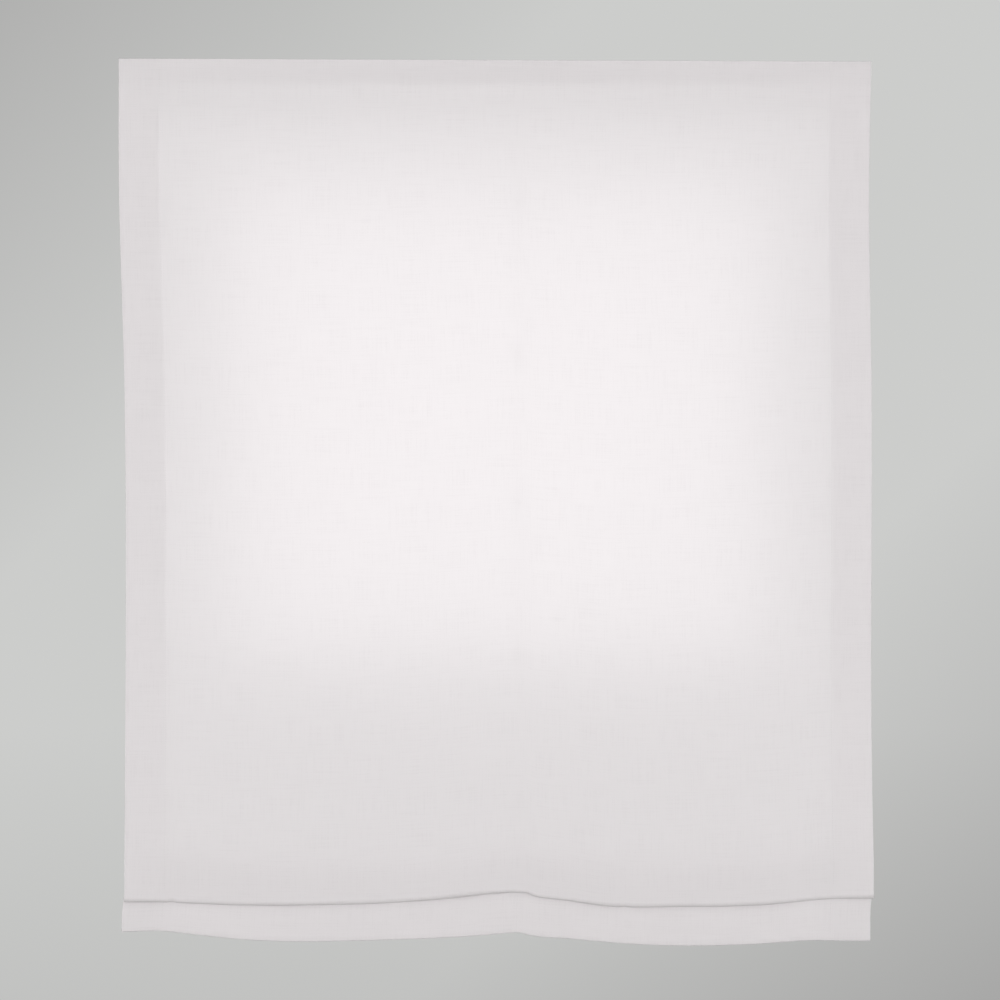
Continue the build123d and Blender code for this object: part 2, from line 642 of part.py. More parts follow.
def bracket_plate(length, corner):
    """A flat plate of the bracket's width, lying from zero to -length along Y, rounded at its far corners."""
    half_width = BRACKET_WIDTH / 2
    outline = Pos(0, -(length - corner) / 2) * Rectangle(BRACKET_WIDTH, length - corner)
    outline += Pos(0, -length + corner / 2) * Rectangle(BRACKET_WIDTH - 2 * corner, corner)
    for side in (-1, 1):
        outline += Pos(side * (half_width - corner), -length + corner) * Circle(corner)
    return extrude(outline, BRACKET_THICK)


def bracket(x):
    """An angle bracket: a plate behind the rail for the wall and a plate above it for the ceiling."""
    half_width = BRACKET_WIDTH / 2
    outer_bend = BRACKET_BEND + BRACKET_THICK
    bend_z = plate_head - outer_bend
    top_plate = Pos(x, -outer_bend, plate_foot) * bracket_plate(BRACKET_REACH - outer_bend, BRACKET_CORNER)
    wall_plate = Rot(90, 0, 0) * Pos(x, bend_z, 0) * bracket_plate(bend_z + BRACKET_DROP, BRACKET_CORNER)
    bend = rod_x(outer_bend, x - half_width, x + half_width, -outer_bend, bend_z)
    bend -= rod_x(BRACKET_BEND, x - half_width, x + half_width, -outer_bend, bend_z)
    bend &= block(x - half_width, x + half_width, -outer_bend, 0, bend_z, plate_head)
    body = top_plate + wall_plate + bend
    screw_hole = Rot(90, 0, 0) * Cylinder(SCREW_HOLE_RADIUS, 2 * BRACKET_THICK + CUT_OVER)
    for side in (-1, 1):
        hole_y = rail_mid_y + side * CEILING_HOLE_SPACING / 2
        body -= Pos(x, 0, side * WALL_HOLE_SPACING / 2) * screw_hole
        body -= rod_z(SCREW_HOLE_RADIUS, x, hole_y, plate_foot - CUT_OVER, plate_head + CUT_OVER)
    return body - sunk_head(x, FIT_GAP) - rod_z(RIVET_RADIUS + RUN_GAP, x, rail_mid_y, lever_head, plate_head)


def sunk_head(x, room):
    """The rivet's countersunk head, flush with the bracket's top plate, with room round it."""
    head = Cone(RIVET_RADIUS + room, RIVET_SUNK_RADIUS + room, BRACKET_THICK)
    return Pos(x, rail_mid_y, (plate_foot + plate_head) / 2) * head


def twist_lock(x):
    """The cam that turns under the rail's lips, with its finger lever above them."""
    long_side = 2 * (LOCK_HALF_LENGTH - LOCK_HALF_WIDTH)
    oval = Rot(0, 0, 90) * SlotCenterToCenter(long_side, 2 * LOCK_HALF_WIDTH)
    lock = Pos(x, rail_mid_y, lock_foot) * extrude(oval, LOCK_PLATE)
    lock += rod_z(LOCK_NECK_RADIUS, x, rail_mid_y, lock_head, lever_foot)
    reach = LEVER_LENGTH - LEVER_WIDTH / 2
    lever = Pos(reach / 2, 0) * SlotCenterToCenter(reach, LEVER_WIDTH) + Circle(LOCK_NECK_RADIUS)
    lock += Pos(x, rail_mid_y, lever_foot) * extrude(lever, LEVER_THICK)
    return lock - rod_z(RIVET_RADIUS + RUN_GAP, x, rail_mid_y, lock_foot - CUT_OVER, lever_head + CUT_OVER)


def lock_rivet(x):
    """The rivet that a twist lock turns on."""
    foot = lock_foot - SEAT_GAP
    rivet = rod_z(RIVET_RADIUS, x, rail_mid_y, foot, plate_foot)
    rivet += rod_z(RIVET_HEAD_RADIUS, x, rail_mid_y, foot - RIVET_HEAD_THICK, foot)
    return rivet + sunk_head(x, 0)


def all_nodes():
    """Every piece of the blind by its node name."""
    nodes = {
        "cloth_panel": cloth_panel(),
        "headrail": headrail(),
        "hook_tape": hook_tape(),
        "loop_tape": loop_tape(),
        "lift_shaft": lift_shaft(),
        "idle_end_cap": idle_end_cap(),
        "idle_bush": idle_bush(),
        "drive_housing": drive_housing(),
        "drive_cover": drive_cover(),
        "chain_wheel": chain_wheel(),
        "drive_hub": drive_hub(),
        "clutch_spring": clutch_spring(),
        "cover_screws": cover_screws(),
    }
    for side, x in cord_columns.items():
        nodes[f"cord_spool_{side}"] = spool(x)
        nodes[f"wound_cord_{side}"] = wound_cord(x)
        nodes[f"spool_cradle_{side}"] = cradle(x)
        nodes[f"lift_cord_{side}"] = lift_cord(x)
        nodes[f"cord_adjuster_{side}"] = cord_adjuster(x)
    for row in range(1, RING_ROWS + 1):
        nodes[f"ring_row_{row}"] = ring_row(row)
    for side, x in (("left", -BRACKET_X), ("right", BRACKET_X)):
        nodes[f"wall_bracket_{side}"] = bracket(x)
        nodes[f"twist_lock_{side}"] = twist_lock(x)
        nodes[f"lock_rivet_{side}"] = lock_rivet(x)
    return nodes


os.makedirs("parts", exist_ok=True)
for name, shape in all_nodes().items():
    export_step(shape, f"parts/{name}.step")
    print(name, "volume", round(shape.volume), "solids", len(shape.solids()))
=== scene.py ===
import json
import math

import bpy
import numpy as np
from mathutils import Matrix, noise


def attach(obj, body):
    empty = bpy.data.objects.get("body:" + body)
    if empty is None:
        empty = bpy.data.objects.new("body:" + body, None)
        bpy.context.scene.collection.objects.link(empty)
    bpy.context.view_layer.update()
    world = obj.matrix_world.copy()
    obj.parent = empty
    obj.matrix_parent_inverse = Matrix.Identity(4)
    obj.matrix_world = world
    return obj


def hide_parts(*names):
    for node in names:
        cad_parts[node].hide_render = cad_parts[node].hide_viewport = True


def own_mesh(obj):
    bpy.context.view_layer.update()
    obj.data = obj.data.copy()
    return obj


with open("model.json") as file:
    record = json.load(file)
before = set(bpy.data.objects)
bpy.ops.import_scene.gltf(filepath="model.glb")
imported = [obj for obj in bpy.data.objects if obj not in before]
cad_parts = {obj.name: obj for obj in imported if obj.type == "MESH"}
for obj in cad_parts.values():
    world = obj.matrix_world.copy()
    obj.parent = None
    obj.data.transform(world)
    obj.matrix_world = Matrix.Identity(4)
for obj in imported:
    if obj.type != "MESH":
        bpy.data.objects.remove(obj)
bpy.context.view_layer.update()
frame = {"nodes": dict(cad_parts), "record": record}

MM = 0.001

# Sizes in millimetres, as in the part's source
CLOTH_TOP = 20.0
HALF_WIDTH = 500.0
SIDE_HEM = 52.0
HEADING_TURN = 34.0
BOTTOM_HEM = 100.0
FRONT_Y = -48.3
MIDDLE_Y = -41.3
LOWER_Y = -36.3
FOLD_FRONT_BEND = 6.0
FOLD_BACK_BEND = 1.0
FOLD_ROUND = 7.0
TURN_BEND = 2.5
TURN_DROP = 1050.0
CORD_X = {"left": -435.0, "middle": 28.0, "right": 435.0}
CORD_Y = -38.8
CORD_RADIUS = 0.7
CORD_FOOT = -1011.2
RING_MID_RADIUS = 5.9
LOW_RING_Z = -1022.7
RING_ROWS = 6
ROW_Y = -40.5
ROW_Z = [-170.0, -370.0, -570.0, -770.0, -970.0]

# Camera and floor, in metres, but the lens and its sensor in millimetres
CAMERA_LENS = 135
CAMERA_SENSOR = 36
CAMERA_X = 0.004
CAMERA_Z = -0.5667
CAMERA_AWAY = 5.0
FLOOR_LEVEL = -1.75
FLOOR_RADIUS = 3.2
FLOOR_FADE_START = 1.4
FLOOR_FADE_END = 3.1
FLOOR_RINGS = 12
FLOOR_SPOKES = 48
FLOOR_COLOUR = (0.62, 0.62, 0.61, 1)

# The backdrop, pale along a slanting band and a little darker below, and the even light
BACKDROP_PALE = (0.605, 0.61, 0.60)
BACKDROP_GREY = (0.42, 0.42, 0.415)
BAND_EDGES = (0.11, 0.28)
LOW_STRENGTH = 0.88
LOW_EDGES = (-0.135, -0.06)
LIGHT_COLOUR = (1, 0.995, 0.99, 1)
FRONT_LIGHT = 0.66
REAR_LIGHT = 0.2
LIGHT_EDGES = (-0.3, 0.3)


# Camera, floor, light


def add_camera():
    """Straight on, from far enough away that the blind shows no perspective."""
    data = bpy.data.cameras.new("camera")
    data.lens = CAMERA_LENS
    data.sensor_width = CAMERA_SENSOR
    camera = bpy.data.objects.new("camera", data)
    camera.location = (CAMERA_X, FRONT_Y * MM - CAMERA_AWAY, CAMERA_Z)
    camera.rotation_euler = (math.pi / 2, 0, 0)
    bpy.context.scene.collection.objects.link(camera)
    bpy.context.scene.camera = camera


def add_area_light(name, place, target, size, power):
    """A soft lamp that the camera doesn't see."""
    data = bpy.data.lights.new(name, "AREA")
    data.shape = "RECTANGLE"
    data.size, data.size_y = size
    data.energy = power
    lamp = bpy.data.objects.new(name, data)
    lamp.location = place
    way = np.array(target, float) - np.array(place, float)
    yaw = math.atan2(way[1], way[0])
    flat = math.hypot(way[0], way[1])
    lamp.rotation_euler = (math.atan2(flat, -way[2]), 0, yaw - math.pi / 2)
    lamp.visible_camera = False
    bpy.context.scene.collection.objects.link(lamp)


def add_world():
    """A pale backdrop for the camera, metal and glass, and for the rest even light, weaker from behind."""
    world = bpy.data.worlds.new("studio")
    bpy.context.scene.world = world
    world.use_nodes = True
    tree = world.node_tree
    tree.nodes.clear()
    link = tree.links.new
    place = tree.nodes.new("ShaderNodeTexCoord")
    parts = tree.nodes.new("ShaderNodeSeparateXYZ")
    link(place.outputs["Generated"], parts.inputs[0])
    slant = join(tree, "SUBTRACT", parts.outputs["X"], parts.outputs["Z"])
    aside = tree.nodes.new("ShaderNodeMath")
    aside.operation = "ABSOLUTE"
    link(slant, aside.inputs[0])
    seen = tree.nodes.new("ShaderNodeBackground")
    backdrop = ramp_colour(tree, aside.outputs[0], BACKDROP_PALE, BACKDROP_GREY, *BAND_EDGES)
    link(backdrop, seen.inputs["Color"])
    link(ramp_value(tree, parts.outputs["Z"], LOW_STRENGTH, 1.0, *LOW_EDGES), seen.inputs["Strength"])
    plain = tree.nodes.new("ShaderNodeBackground")
    plain.inputs["Color"].default_value = LIGHT_COLOUR
    strength = ramp_value(tree, parts.outputs["Y"], FRONT_LIGHT, REAR_LIGHT, *LIGHT_EDGES)
    link(strength, plain.inputs["Strength"])
    path = tree.nodes.new("ShaderNodeLightPath")
    either = join(tree, "MAXIMUM", path.outputs["Is Camera Ray"], path.outputs["Is Glossy Ray"])
    clear = join(tree, "SUBTRACT", path.outputs["Is Transmission Ray"], path.outputs["Is Diffuse Ray"])
    any_seen = join(tree, "MAXIMUM", either, clear)
    mix = tree.nodes.new("ShaderNodeMixShader")
    out = tree.nodes.new("ShaderNodeOutputWorld")
    link(any_seen, mix.inputs[0])
    link(plain.outputs[0], mix.inputs[1])
    link(seen.outputs[0], mix.inputs[2])
    link(mix.outputs[0], out.inputs["Surface"])


def floor_material():
    """Matt pale paint that fades to nothing at the floor's rim."""
    mat, tree, shader = new_material("floor_paint")
    shader.inputs["Base Color"].default_value = FLOOR_COLOUR
    shader.inputs["Roughness"].default_value = 0.9
    place = tree.nodes.new("ShaderNodeTexCoord")
    flat = tree.nodes.new("ShaderNodeVectorMath")
    flat.operation = "MULTIPLY"
    flat.inputs[1].default_value = (1, 1, 0)
    length = tree.nodes.new("ShaderNodeVectorMath")
    length.operation = "LENGTH"
    fade = tree.nodes.new("ShaderNodeMapRange")
    fade.interpolation_type = "SMOOTHSTEP"
    fade.inputs["From Min"].default_value = FLOOR_FADE_START
    fade.inputs["From Max"].default_value = FLOOR_FADE_END
    clear = tree.nodes.new("ShaderNodeBsdfTransparent")
    tree.links.new(place.outputs["Object"], flat.inputs[0])
    tree.links.new(flat.outputs[0], length.inputs[0])
    tree.links.new(length.outputs["Value"], fade.inputs["Value"])
    mix = mix_into_output(tree, shader, clear)
    tree.links.new(fade.outputs["Result"], mix.inputs[0])
    return mat


def add_floor():
    """A pale round floor well below the blind, which fades out at its rim."""
    verts = [(0, 0, FLOOR_LEVEL)]
    for ring in range(1, FLOOR_RINGS + 1):
        reach = FLOOR_RADIUS * ring / FLOOR_RINGS
        for spoke in range(FLOOR_SPOKES):
            turn = 2 * math.pi * spoke / FLOOR_SPOKES
            verts.append((reach * math.cos(turn), reach * math.sin(turn), FLOOR_LEVEL))
    pairs = [(spoke, (spoke + 1) % FLOOR_SPOKES) for spoke in range(FLOOR_SPOKES)]
    faces = [(0, 1 + s, 1 + t) for s, t in pairs]
    for ring in range(FLOOR_RINGS - 1):
        a = 1 + ring * FLOOR_SPOKES
        b = a + FLOOR_SPOKES
        faces += [(a + s, b + s, b + t, a + t) for s, t in pairs]
    mesh = bpy.data.meshes.new("floor")
    mesh.from_pydata(verts, [], faces)
    floor = bpy.data.objects.new("floor", mesh)
    bpy.context.scene.collection.objects.link(floor)
    mesh.materials.append(floor_material())


# Materials


def new_material(name):
    """A material with one Principled shader."""
    mat = bpy.data.materials.new(name)
    mat.use_nodes = True
    return mat, mat.node_tree, mat.node_tree.nodes["Principled BSDF"]


def mix_into_output(tree, first, second):
    """Mixes two shaders and makes the mix the material's surface."""
    mix = tree.nodes.new("ShaderNodeMixShader")
    tree.links.new(first.outputs[0], mix.inputs[1])
    tree.links.new(second.outputs[0], mix.inputs[2])
    tree.links.new(mix.outputs[0], tree.nodes["Material Output"].inputs["Surface"])
    return mix


def stretched_noise(tree, source, cells, detail=3.0):
    """Noise on a stretched copy of the coordinates, given in cells per metre along each axis."""
    mapping = tree.nodes.new("ShaderNodeMapping")
    mapping.inputs["Scale"].default_value = cells
    grain = tree.nodes.new("ShaderNodeTexNoise")
    grain.inputs["Scale"].default_value = 1.0
    grain.inputs["Detail"].default_value = detail
    grain.inputs["Roughness"].default_value = 0.55
    tree.links.new(source, mapping.inputs["Vector"])
    tree.links.new(mapping.outputs["Vector"], grain.inputs["Vector"])
    return grain.outputs["Fac"]


def ramp_colour(tree, value, low, high, start=0.3, end=0.7):
    """Two colours, blended by a value."""
    ramp = tree.nodes.new("ShaderNodeValToRGB")
    ramp.color_ramp.elements[0].position = start
    ramp.color_ramp.elements[1].position = end
    ramp.color_ramp.elements[0].color = (*low, 1)
    ramp.color_ramp.elements[1].color = (*high, 1)
    tree.links.new(value, ramp.inputs[0])
    return ramp.outputs["Color"]


def ramp_value(tree, value, low, high, start=0.3, end=0.7):
    """A value spread between two limits."""
    spread = tree.nodes.new("ShaderNodeMapRange")
    spread.inputs["From Min"].default_value = start
    spread.inputs["From Max"].default_value = end
    spread.inputs["To Min"].default_value = low
    spread.inputs["To Max"].default_value = high
    tree.links.new(value, spread.inputs["Value"])
    return spread.outputs["Result"]


def join(tree, operation, a, b):
    """Two values joined by one Math node."""
    node = tree.nodes.new("ShaderNodeMath")
    node.operation = operation
    tree.links.new(a, node.inputs[0])
    tree.links.new(b, node.inputs[1])
    return node.outputs[0]


def bump(tree, shader, height, strength, distance):
    """Raises the surface by a height."""
    node = tree.nodes.new("ShaderNodeBump")
    node.inputs["Strength"].default_value = strength
    node.inputs["Distance"].default_value = distance
    tree.links.new(height, node.inputs["Height"])
    tree.links.new(node.outputs["Normal"], shader.inputs["Normal"])
    return node.outputs["Normal"]


def threads(tree, source, per_metre, direction):
    """Even ridges across one axis, as yarns lie side by side."""
    mapping = tree.nodes.new("ShaderNodeMapping")
    mapping.inputs["Scale"].default_value = per_metre
    wave = tree.nodes.new("ShaderNodeTexWave")
    wave.bands_direction = direction
    wave.inputs["Scale"].default_value = 1.0
    wave.inputs["Distortion"].default_value = 1.2
    wave.inputs["Detail"].default_value = 1.0
    tree.links.new(source, mapping.inputs["Vector"])
    tree.links.new(mapping.outputs["Vector"], wave.inputs["Vector"])
    return wave.outputs["Fac"]


# The cloth's yarns in cells per metre, its two tones, and the share of light that goes through it
WARP_SLUBS = (640, 21, 1)
WEFT_SLUBS = (17, 700, 1)
SLUB_EDGES = (0.7, 1.3)
WARP_YARNS = (230, 0, 1)
WEFT_YARNS = (0, 210, 1)
CLOTH_DARK = (0.845, 0.824, 0.832)
CLOTH_PALE = (0.875, 0.855, 0.862)
CLOTH_THROUGH = 0.46


def cloth_material():
    """White plain weave with faint slubs, which lets some light through."""
    mat, tree, shader = new_material("white_fabric_weave")
    uv = tree.nodes.new("ShaderNodeUVMap").outputs["UV"]
    warp = stretched_noise(tree, uv, WARP_SLUBS, detail=2.0)
    weft = stretched_noise(tree, uv, WEFT_SLUBS, detail=2.0)
    slub = join(tree, "ADD", warp, weft)
    colour = ramp_colour(tree, slub, CLOTH_DARK, CLOTH_PALE, *SLUB_EDGES)
    tree.links.new(colour, shader.inputs["Base Color"])
    tree.links.new(ramp_value(tree, slub, 0.78, 0.95, *SLUB_EDGES), shader.inputs["Roughness"])
    shader.inputs["Sheen Weight"].default_value = 0.06
    shader.inputs["Sheen Roughness"].default_value = 0.5
    shader.inputs["Specular IOR Level"].default_value = 0.2
    yarns = join(tree, "ADD", threads(tree, uv, WARP_YARNS, "X"), threads(tree, uv, WEFT_YARNS, "Y"))
    normal = bump(tree, shader, join(tree, "ADD", slub, yarns), strength=0.3, distance=0.00012)
    through = tree.nodes.new("ShaderNodeBsdfTranslucent")
    tree.links.new(colour, through.inputs["Color"])
    tree.links.new(normal, through.inputs["Normal"])
    mix = mix_into_output(tree, shader, through)
    mix.inputs[0].default_value = CLOTH_THROUGH
    return mat


def grained(name, dark, pale, cells, roughness, depth, metallic=0.0):
    """A material whose colour, roughness and relief follow one grain, in cells per metre."""
    mat, tree, shader = new_material(name)
    place = tree.nodes.new("ShaderNodeTexCoord").outputs["Object"]
    grain = stretched_noise(tree, place, cells, detail=4.0)
    patches = stretched_noise(tree, place, cells=(9, 31, 23), detail=2.0)
    tone = join(tree, "MULTIPLY", grain, patches)
    tree.links.new(ramp_colour(tree, tone, dark, pale, start=0.12, end=0.4), shader.inputs["Base Color"])
    tree.links.new(ramp_value(tree, grain, *roughness), shader.inputs["Roughness"])
    shader.inputs["Metallic"].default_value = metallic
    bump(tree, shader, grain, strength=0.4, distance=depth)
    return mat


def tape_material(name, cells, depth):
    """Hook or loop pile: a field of small knobs."""
    mat, tree, shader = new_material(name)
    place = tree.nodes.new("ShaderNodeTexCoord").outputs["Object"]
    pile = tree.nodes.new("ShaderNodeTexVoronoi")
    pile.inputs["Scale"].default_value = cells
    tree.links.new(place, pile.inputs["Vector"])
    fuzz = stretched_noise(tree, place, (1500, 1500, 1500))
    height = join(tree, "MULTIPLY", pile.outputs["Distance"], fuzz)
    colour = ramp_colour(tree, height, (0.76, 0.76, 0.745), (0.62, 0.62, 0.605), 0.05, 0.45)
    tree.links.new(colour, shader.inputs["Base Color"])
    tree.links.new(ramp_value(tree, fuzz, 0.8, 1.0), shader.inputs["Roughness"])
    bump(tree, shader, height, strength=0.8, distance=depth)
    return mat


def braid_material():
    """Braided polyester: crossed strands along the cord, with painted shade that darkens the grooves between
    the strands.
    """
    strand_angle, strands_per_metre = 0.9, 330
    mat, tree, shader = new_material("white_cord_braid")
    uv = tree.nodes.new("ShaderNodeUVMap").outputs["UV"]
    turned = []
    for angle in (strand_angle, -strand_angle):
        mapping = tree.nodes.new("ShaderNodeMapping")
        mapping.inputs["Rotation"].default_value = (0, 0, angle)
        mapping.inputs["Scale"].default_value = (strands_per_metre, strands_per_metre, 1)
        wave = tree.nodes.new("ShaderNodeTexWave")
        wave.inputs["Scale"].default_value = 1.0
        tree.links.new(uv, mapping.inputs["Vector"])
        tree.links.new(mapping.outputs["Vector"], wave.inputs["Vector"])
        turned.append(wave.outputs["Fac"])
    strands = join(tree, "MULTIPLY", *turned)
    # painted shade: the colour goes darker where the strands sink into the grooves between them
    colour = ramp_colour(tree, strands, (0.66, 0.66, 0.64), (0.8, 0.8, 0.78), 0.0, 0.6)
    tree.links.new(colour, shader.inputs["Base Color"])
    tree.links.new(ramp_value(tree, strands, 0.65, 0.85, 0, 1), shader.inputs["Roughness"])
    bump(tree, shader, strands, strength=0.6, distance=0.0002)
    return mat


def thread_material():
    """Fine twisted sewing thread."""
    mat, tree, shader = new_material("sewing_thread")
    place = tree.nodes.new("ShaderNodeTexCoord").outputs["Object"]
    ply = stretched_noise(tree, place, (2600, 2600, 1400))
    colour = ramp_colour(tree, ply, (0.68, 0.66, 0.67), (0.79, 0.775, 0.78))
    tree.links.new(colour, shader.inputs["Base Color"])
    tree.links.new(ramp_value(tree, ply, 0.5, 0.75), shader.inputs["Roughness"])
    bump(tree, shader, ply, strength=0.5, distance=0.0001)
    return mat


# Cloth, in millimetres

WEAVE_THICK = 0.36
LAYER_GAP = 0.5
TURNED_GAP = 1.3
HEM_BULGE = 1.7
BEND_ROOM = 0.3
HEM_ROOM = 0.2
CLOTH_COLUMNS = 153
HEM_COLUMNS = 8
EDGE_COLUMNS = 4

# How many steps each stretch of the cloth's line has, from the heading's raw edge to the hem's, and the row
# at which each stretch ends
STEPS = {
    "heading": 4, "top": 5, "front": 116, "fold": 8, "fold_back": 4, "middle": 8, "turn": 10, "lower": 16,
    "hem": 5, "hem_back": 9,
}
ENDS = dict(zip(STEPS, np.cumsum(list(STEPS.values())).tolist()))

# How the fold and the bottom hem hang between the cords, as (place, sag below the line's highest point)
FOLD_DROP = 1112.0
FOLD_SAGS = (
    (-500, 11.5), (-455, 11.5), (-405, 13.5), (-350, 15.5), (-250, 15.5), (-170, 13.5), (-90, 8.5),
    (-45, 4.0), (-5, 0.0), (34, 0.0), (46, 3.5), (95, 10.0), (135, 16.0), (250, 17.5), (310, 17.0),
    (375, 13.5), (438, 7.5), (500, 6.5),
)
HEM_DROP = 1163.0
HEM_SAGS = (
    (-500, 0.5), (-437, 0.0), (-420, 2.0), (-380, 6.5), (-330, 11.0), (-270, 13.5), (-200, 12.5),
    (-130, 10.5), (-50, 7.0), (0, 3.5), (22, 1.5), (30, 1.0), (41, 4.0), (98, 9.5), (190, 17.0),
    (260, 19.0), (340, 17.0), (430, 11.5), (470, 12.5), (500, 12.5),
)
TURN_SAG = 12.0
TURN_SAG_POWER = 2.0
# Small tucks that the cords pull into the fold, as (place, rise), and the cloth's columns round them
PUCKERS = ((-437.0, 1.4), (38.0, 1.4), (167.0, 0.9))
PUCKER_WIDTH = 5.0
PUCKER_REACH = 12.0
PUCKER_STEP = 2.0
COLUMN_ROOM = 0.8
# The fine row of places on which the drops are kept, and the blur over it
DROP_MARGIN = 40.0
DROP_PLACES = 2161
BLUR_PLACES = 40
BLUR_WIDTH = 3.0

# How the cloth bows forward between the ring rows
BOW_STOPS = (-15.0, *ROW_Z, -1100.0)
BOW_DEPTHS = (0.5, 0.9, 1.0, 1.1, 1.2, 1.5)
BOW_POWER = 2.4
BOW_MEAN = 0.8
BOW_SPREAD = 0.35
# Soft waves that grow downwards, as (depth, radians per mm across, radians per mm up, phase)
DRAPES = ((0.55, 0.0205, 0.0011, 0.4), (0.4, 0.037, -0.0016, 1.9))
DRAPE_START = 25.0
DRAPE_RUN = 1080.0
DRAPE_LEAST = 0.25
DRAPE_GROWTH = 1.1
HEADING_HOLD = 12
RIPPLE_DEPTH = 0.8
RIPPLE_LEAST = 0.3
# Noise on the cloth, as (steps per mm across, steps per mm up, layer)
BOW_NOISE = (0.006, 0.004, 3.1)
RIPPLE_NOISE = (0.011, 0.0045, 8.4)
# How the cords pull the cloth back above the fold, as (depth, reach), with a soft rim round each pull
CORD_PULLS = {"left": (0.9, 40.0), "middle": (3.0, 55.0), "right": (1.2, 45.0)}
PULL_Z = -1095.0
PULL_FADE = 70.0
RIM_SHARE = 0.55
RIM_PLACE = 1.7
RIM_SHARPNESS = 1.6
BACK_LIMIT = 2.2
# Where a ring is tacked on, the cloth lies at one depth
TACK_DEPTH = 0.2
TACK_REACH = 40.0

# The fold's shift that is left at its back, and the lower layer's waves, lean and drift below the fold
FOLD_SHIFT_LEFT = 0.35
LOWER_WAVE = 0.9
LOWER_WAVE_TURN = 0.024
LOWER_WAVE_PHASE = 0.9
LOWER_RIPPLE = 0.6
LOWER_RIPPLE_STEP = 0.013
LOWER_RIPPLE_LAYER = (4.0, 1.7)
LOWER_LIMIT = 0.4
LOWER_RUN = 120.0
LOWER_LEAN = 7.0
LOWER_DRIFT = -4.0
LEAN_ABOVE_FOLD = 30.0
LEAN_RUN = 55.0
# How far the top edge falls from its middle to its right end, and where that tilt has faded out
TOP_TILT = 2.0
TILT_END = -150.0
# How far the cloth's two edges hang to the right of true, at a few heights
EDGE_STOPS = (-1060.0, -900.0, -430.0, -120.0, 0.0)
LEFT_EDGE = (3.4, 4.6, 3.8, -4.0, -4.0)
RIGHT_EDGE = (2.0, -0.7, -0.7, -4.0, -1.2)


def sag(share, depth, power):
    """How far the cloth hangs off the line between two held places, deepest at half way."""
    return depth * (1 - np.abs(2 * share - 1) ** power)


def smooth_line(x, places, values):
    """A smooth curve through a few points, level beyond its ends."""
    places, values = np.array(places, float), np.array(values, float)
    slopes = np.gradient(values, places)
    k = np.clip(np.searchsorted(places, x) - 1, 0, len(places) - 2)
    gap = places[k + 1] - places[k]
    s = np.clip((x - places[k]) / gap, 0, 1)
    start = values[k] * (1 + 2 * s) + slopes[k] * gap * s
    end = values[k + 1] * (3 - 2 * s) - slopes[k + 1] * gap * (1 - s)
    return start * (1 - s) ** 2 + end * s ** 2


def noise_at(x, z, steps):
    """Smooth noise at one place of the cloth."""
    across, up, layer = steps
    return noise.noise((x * across, z * up, layer))


def drop_tables():
    """Drops of the fold, turn and hem below the cloth's top, on a fine row of x places, softened a little."""
    reach = HALF_WIDTH + DROP_MARGIN
    x = np.linspace(-reach, reach, DROP_PLACES)
    fold = FOLD_DROP + smooth_line(x, *zip(*FOLD_SAGS))
    hem = HEM_DROP + smooth_line(x, *zip(*HEM_SAGS))
    turn = np.full_like(x, TURN_DROP)
    left, middle, right = CORD_X.values()
    for low, high in ((left, middle), (middle, right)):
        turn += sag(np.clip((x - low) / (high - low), 0, 1), TURN_SAG, TURN_SAG_POWER)
    width = np.arange(-BLUR_PLACES, BLUR_PLACES + 1) * (x[1] - x[0])
    blur = np.exp(-0.5 * (width / BLUR_WIDTH) ** 2)
    blur /= blur.sum()
    padded = [np.pad(row, BLUR_PLACES, "edge") for row in (fold, turn, hem)]
    fold, turn, hem = [np.convolve(row, blur, "valid") for row in padded]
    for place, rise in PUCKERS:
        fold -= rise * np.exp(-(((x - place) / PUCKER_WIDTH) ** 2))
    return x, [fold, turn, hem]


DROP_X, DROPS = drop_tables()


def drops_at(x):
    """Fold, turn and hem drops at one x."""
    return [float(np.interp(x, DROP_X, row)) for row in DROPS]


def bay_bow(z):
    """Cloth between two ring rows stands a little forward of them."""
    for top, bottom, depth in zip(BOW_STOPS, BOW_STOPS[1:], BOW_DEPTHS):
        share = (top - z) / (top - bottom)
        if 0 < share < 1:
            return sag(share, depth, BOW_POWER)
    return 0.0


def cord_pull(x, z):
    """How far the cords pull the cloth back at one place above the fold."""
    near = math.exp(-max(z - PULL_Z, 0) / PULL_FADE)
    pull = 0.0
    for cord, (depth, reach) in CORD_PULLS.items():
        away = (x - CORD_X[cord]) / reach
        rim = RIM_SHARE * math.exp(-((abs(away) - RIM_PLACE) ** 2) * RIM_SHARPNESS)
        pull += depth * near * (math.exp(-away * away) - rim)
    return pull


def front_shift(x, z):
    """How far the hanging cloth stands behind its plane at one place."""
    down = min(max((CLOTH_TOP - DRAPE_START - z) / DRAPE_RUN, 0), 1)
    held = min(down * HEADING_HOLD, 1)
    shift = -bay_bow(z) * (BOW_MEAN + BOW_SPREAD * noise_at(x, z, BOW_NOISE))
    growth = DRAPE_LEAST + DRAPE_GROWTH * down ** 2
    for depth, across, up, phase in DRAPES:
        shift += depth * math.sin(x * across + z * up + phase) * growth
    shift += RIPPLE_DEPTH * noise_at(x, z, RIPPLE_NOISE) * (RIPPLE_LEAST + down)
    shift = min(shift + cord_pull(x, z), BACK_LIMIT) * held
    for tack_x in CORD_X.values():
        for tack_z in ROW_Z:
            near = math.exp(-((x - tack_x) ** 2 + (z - tack_z) ** 2) / TACK_REACH ** 2)
            shift += (TACK_DEPTH - shift) * near
    return shift


